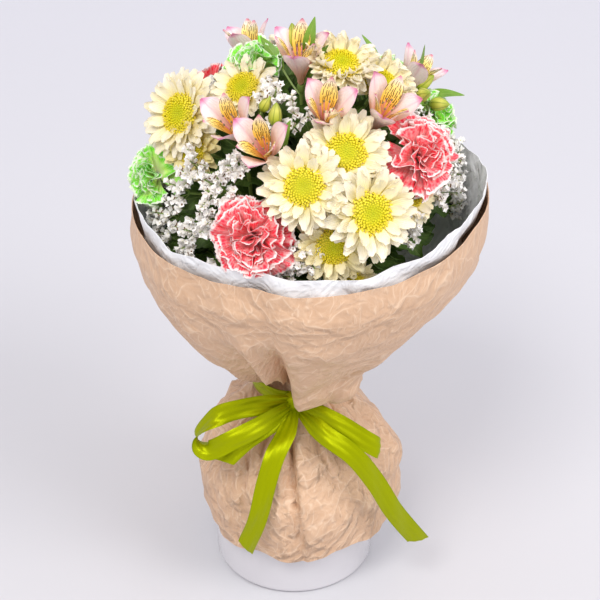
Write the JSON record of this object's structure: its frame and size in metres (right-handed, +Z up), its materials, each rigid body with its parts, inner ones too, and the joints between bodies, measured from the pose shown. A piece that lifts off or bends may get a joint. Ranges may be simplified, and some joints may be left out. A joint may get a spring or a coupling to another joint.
{
  "type": "mixed flower bouquet in a vase",
  "caption": "Mixed bouquet of chrysanthemums, carnations, alstroemeria and statice in kraft paper with a satin bow, standing in a round vase.",
  "frame": {"origin": "centre of the vase's foot, on the surface that it stands on", "axes": "+Z up, -Y to the front with the ribbon's knot, +X to the right seen from the front"},
  "size_m": [0.2736, 0.2737, 0.4951],
  "materials": {
    "glaze": "gloss",
    "tape": "matt",
    "kraft": "matt, crumpled",
    "tissue": "matt, thin and crinkled",
    "satin": "satin",
    "cream_petal": "soft, as petals",
    "yellow_disc": "matt, grainy",
    "coral_petal": "soft, as petals",
    "lime_petal": "soft, as petals",
    "blush_petal": "soft, as petals",
    "papery_white": "dry and papery",
    "leaf_green": "semi-matt, as leaves"
  },
  "bodies": {
    "root": {"vase": "glaze", "stem_binding": "tape", "kraft_wrapper": "kraft", "tissue_liner": "tissue", "ribbon_bow": "satin", "chrysanthemum_01_petals": "cream_petal", "chrysanthemum_01_disc": "yellow_disc", "chrysanthemum_02_petals": "cream_petal", "chrysanthemum_02_disc": "yellow_disc", "chrysanthemum_03_petals": "cream_petal", "chrysanthemum_03_disc": "yellow_disc", "chrysanthemum_04_petals": "cream_petal", "chrysanthemum_04_disc": "yellow_disc", "chrysanthemum_05_petals": "cream_petal", "chrysanthemum_05_disc": "yellow_disc", "chrysanthemum_06_petals": "cream_petal", "chrysanthemum_06_disc": "yellow_disc", "chrysanthemum_07_petals": "cream_petal", "chrysanthemum_07_disc": "yellow_disc", "chrysanthemum_08_petals": "cream_petal", "chrysanthemum_08_disc": "yellow_disc", "chrysanthemum_09_petals": "cream_petal", "chrysanthemum_09_disc": "yellow_disc", "chrysanthemum_10_petals": "cream_petal", "chrysanthemum_10_disc": "yellow_disc", "chrysanthemum_11_petals": "cream_petal", "chrysanthemum_11_disc": "yellow_disc", "chrysanthemum_12_petals": "cream_petal", "chrysanthemum_12_disc": "yellow_disc", "chrysanthemum_13_petals": "cream_petal", "chrysanthemum_13_disc": "yellow_disc", "chrysanthemum_stem_front": "leaf_green", "chrysanthemum_stem_centre": "leaf_green", "chrysanthemum_stem_left": "leaf_green", "chrysanthemum_stem_top": "leaf_green", "chrysanthemum_stem_back": "leaf_green", "carnation_pink_front_petals": "coral_petal", "carnation_pink_front_stem": "leaf_green", "carnation_pink_right_petals": "coral_petal", "carnation_pink_right_stem": "leaf_green", "carnation_pink_back_petals": "coral_petal", "carnation_pink_back_stem": "leaf_green", "carnation_green_left": "lime_petal", "carnation_green_top": "lime_petal", "carnation_green_behind": "lime_petal", "carnation_green_right": "lime_petal", "alstroemeria_stem_left": "leaf_green", "alstroemeria_stem_top": "leaf_green", "alstroemeria_stem_right": "leaf_green", "alstroemeria_01_bloom": "blush_petal", "alstroemeria_02_bloom": "blush_petal", "alstroemeria_03_bloom": "blush_petal", "alstroemeria_04_bloom": "blush_petal", "alstroemeria_05_bloom": "blush_petal", "alstroemeria_06_bloom": "blush_petal", "alstroemeria_07_bloom": "blush_petal", "statice_left": "papery_white", "statice_front": "papery_white", "statice_right": "papery_white", "statice_back": "papery_white"}
  },
  "joints": []
}
